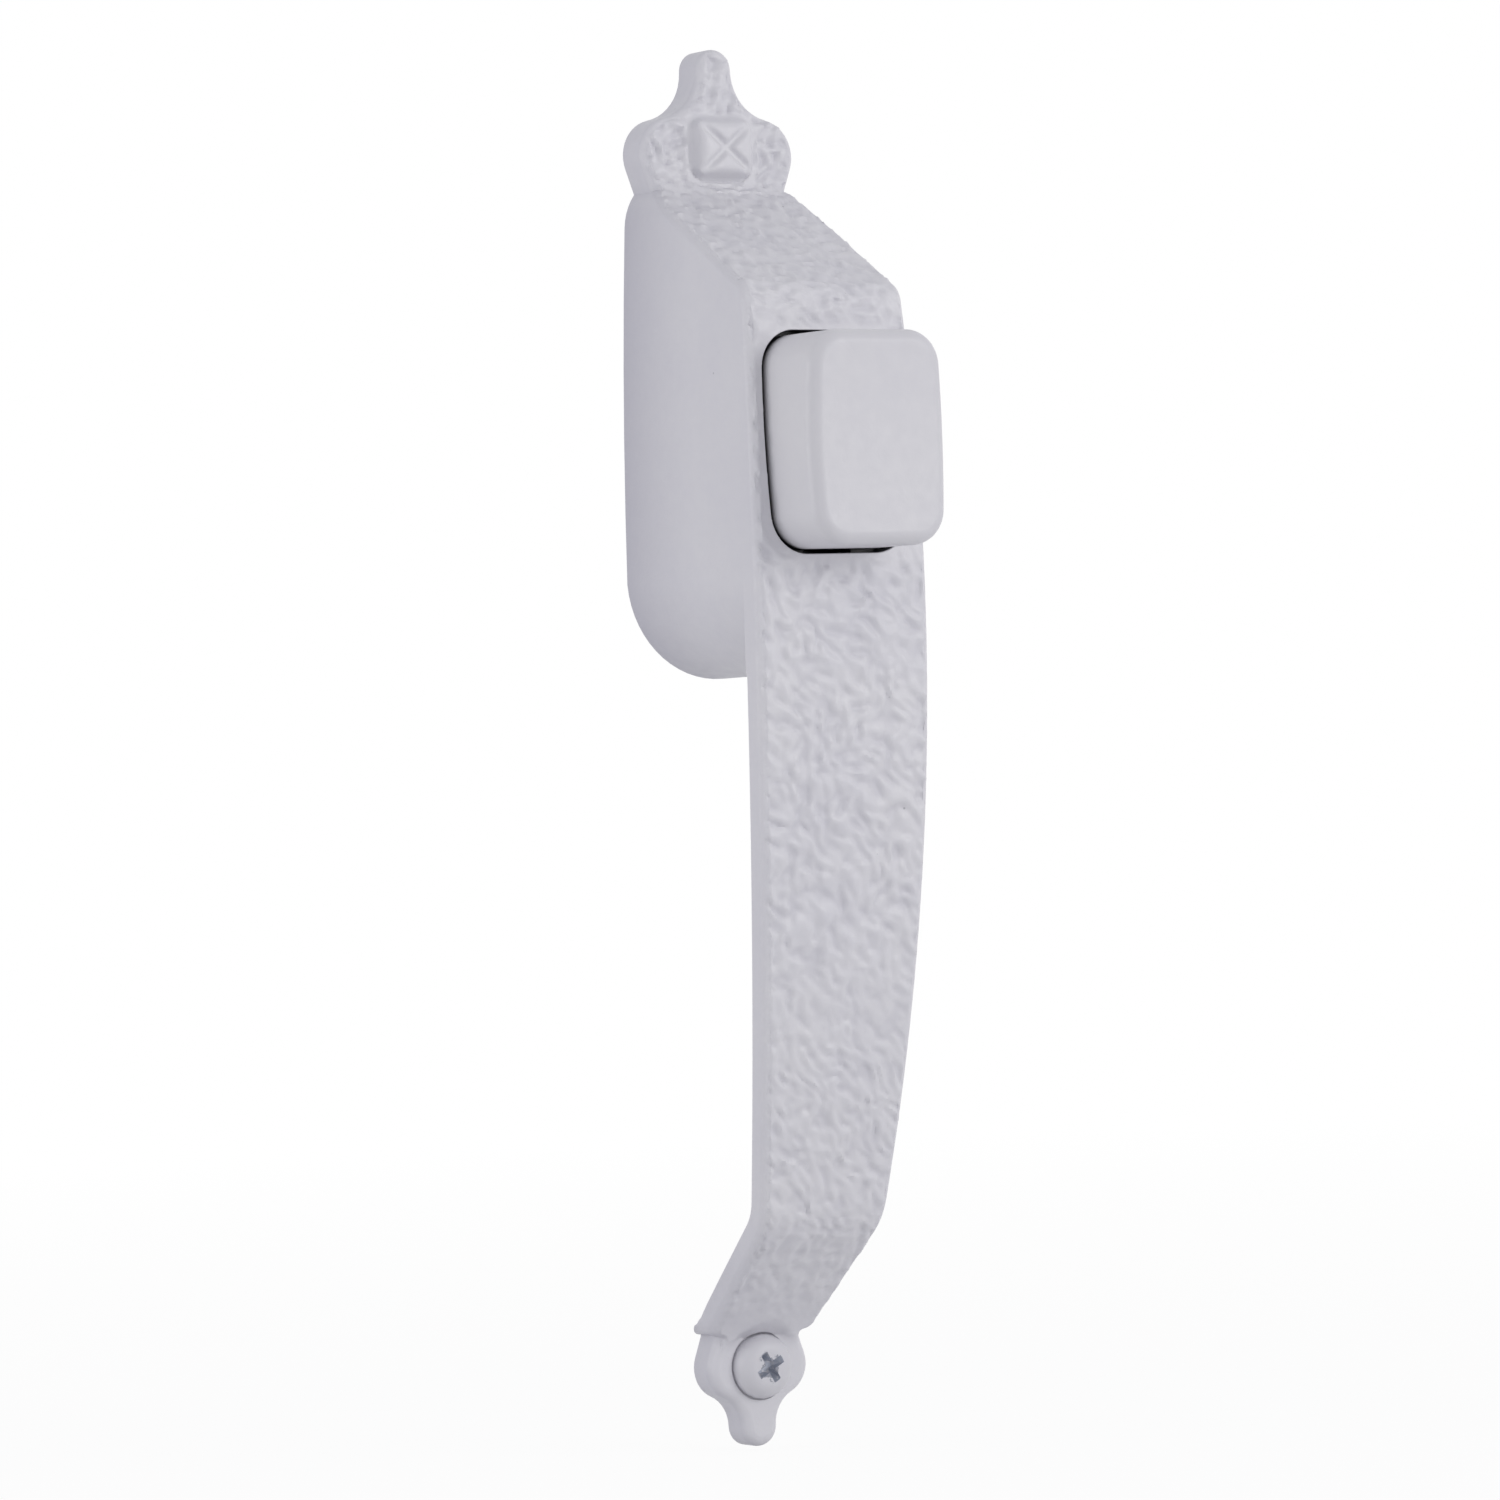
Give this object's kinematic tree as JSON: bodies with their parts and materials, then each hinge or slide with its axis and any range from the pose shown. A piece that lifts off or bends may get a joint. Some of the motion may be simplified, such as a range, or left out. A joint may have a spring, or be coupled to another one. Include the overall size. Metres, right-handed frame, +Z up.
{
  "type": "storm door push-button pull handle",
  "caption": "Bowed cast pull handle with a pointed finial and foot, a hollow housing and a sprung push button whose rod reaches through a storm door to work its latch.",
  "frame": {"origin": "where the push rod's axis meets the door face, midway between the two through-screw holes", "axes": "+Y goes into the door along the rod and the screw holes, +Z goes up along the handle, +X goes to the right seen from outside"},
  "size_m": [0.0274, 0.0547, 0.185],
  "materials": {
    "hammered_white": "white paint over a hammered die casting",
    "smooth_white": "smooth satin white paint",
    "screw_white": "white paint with a bare recess",
    "bright_zinc": "bright zinc plate",
    "yellow_zinc": "dull zinc plate",
    "spring_steel": "drawn wire"
  },
  "bodies": {
    "handle": {"handle_body": "hammered_white", "return_spring": "spring_steel", "guide_plate": "yellow_zinc", "plate_screws": "bright_zinc", "foot_screw": "screw_white"},
    "button": {"push_button": "smooth_white", "push_rod": "bright_zinc"}
  },
  "joints": [
    {"name": "button_press", "type": "slide", "parent": "handle", "child": "button", "axis": [0, 1, 0], "range_m": [0, 0.008], "stiffness_N_per_m": 400, "springref_m": -0.01, "deforming": ["return_spring"]}
  ]
}
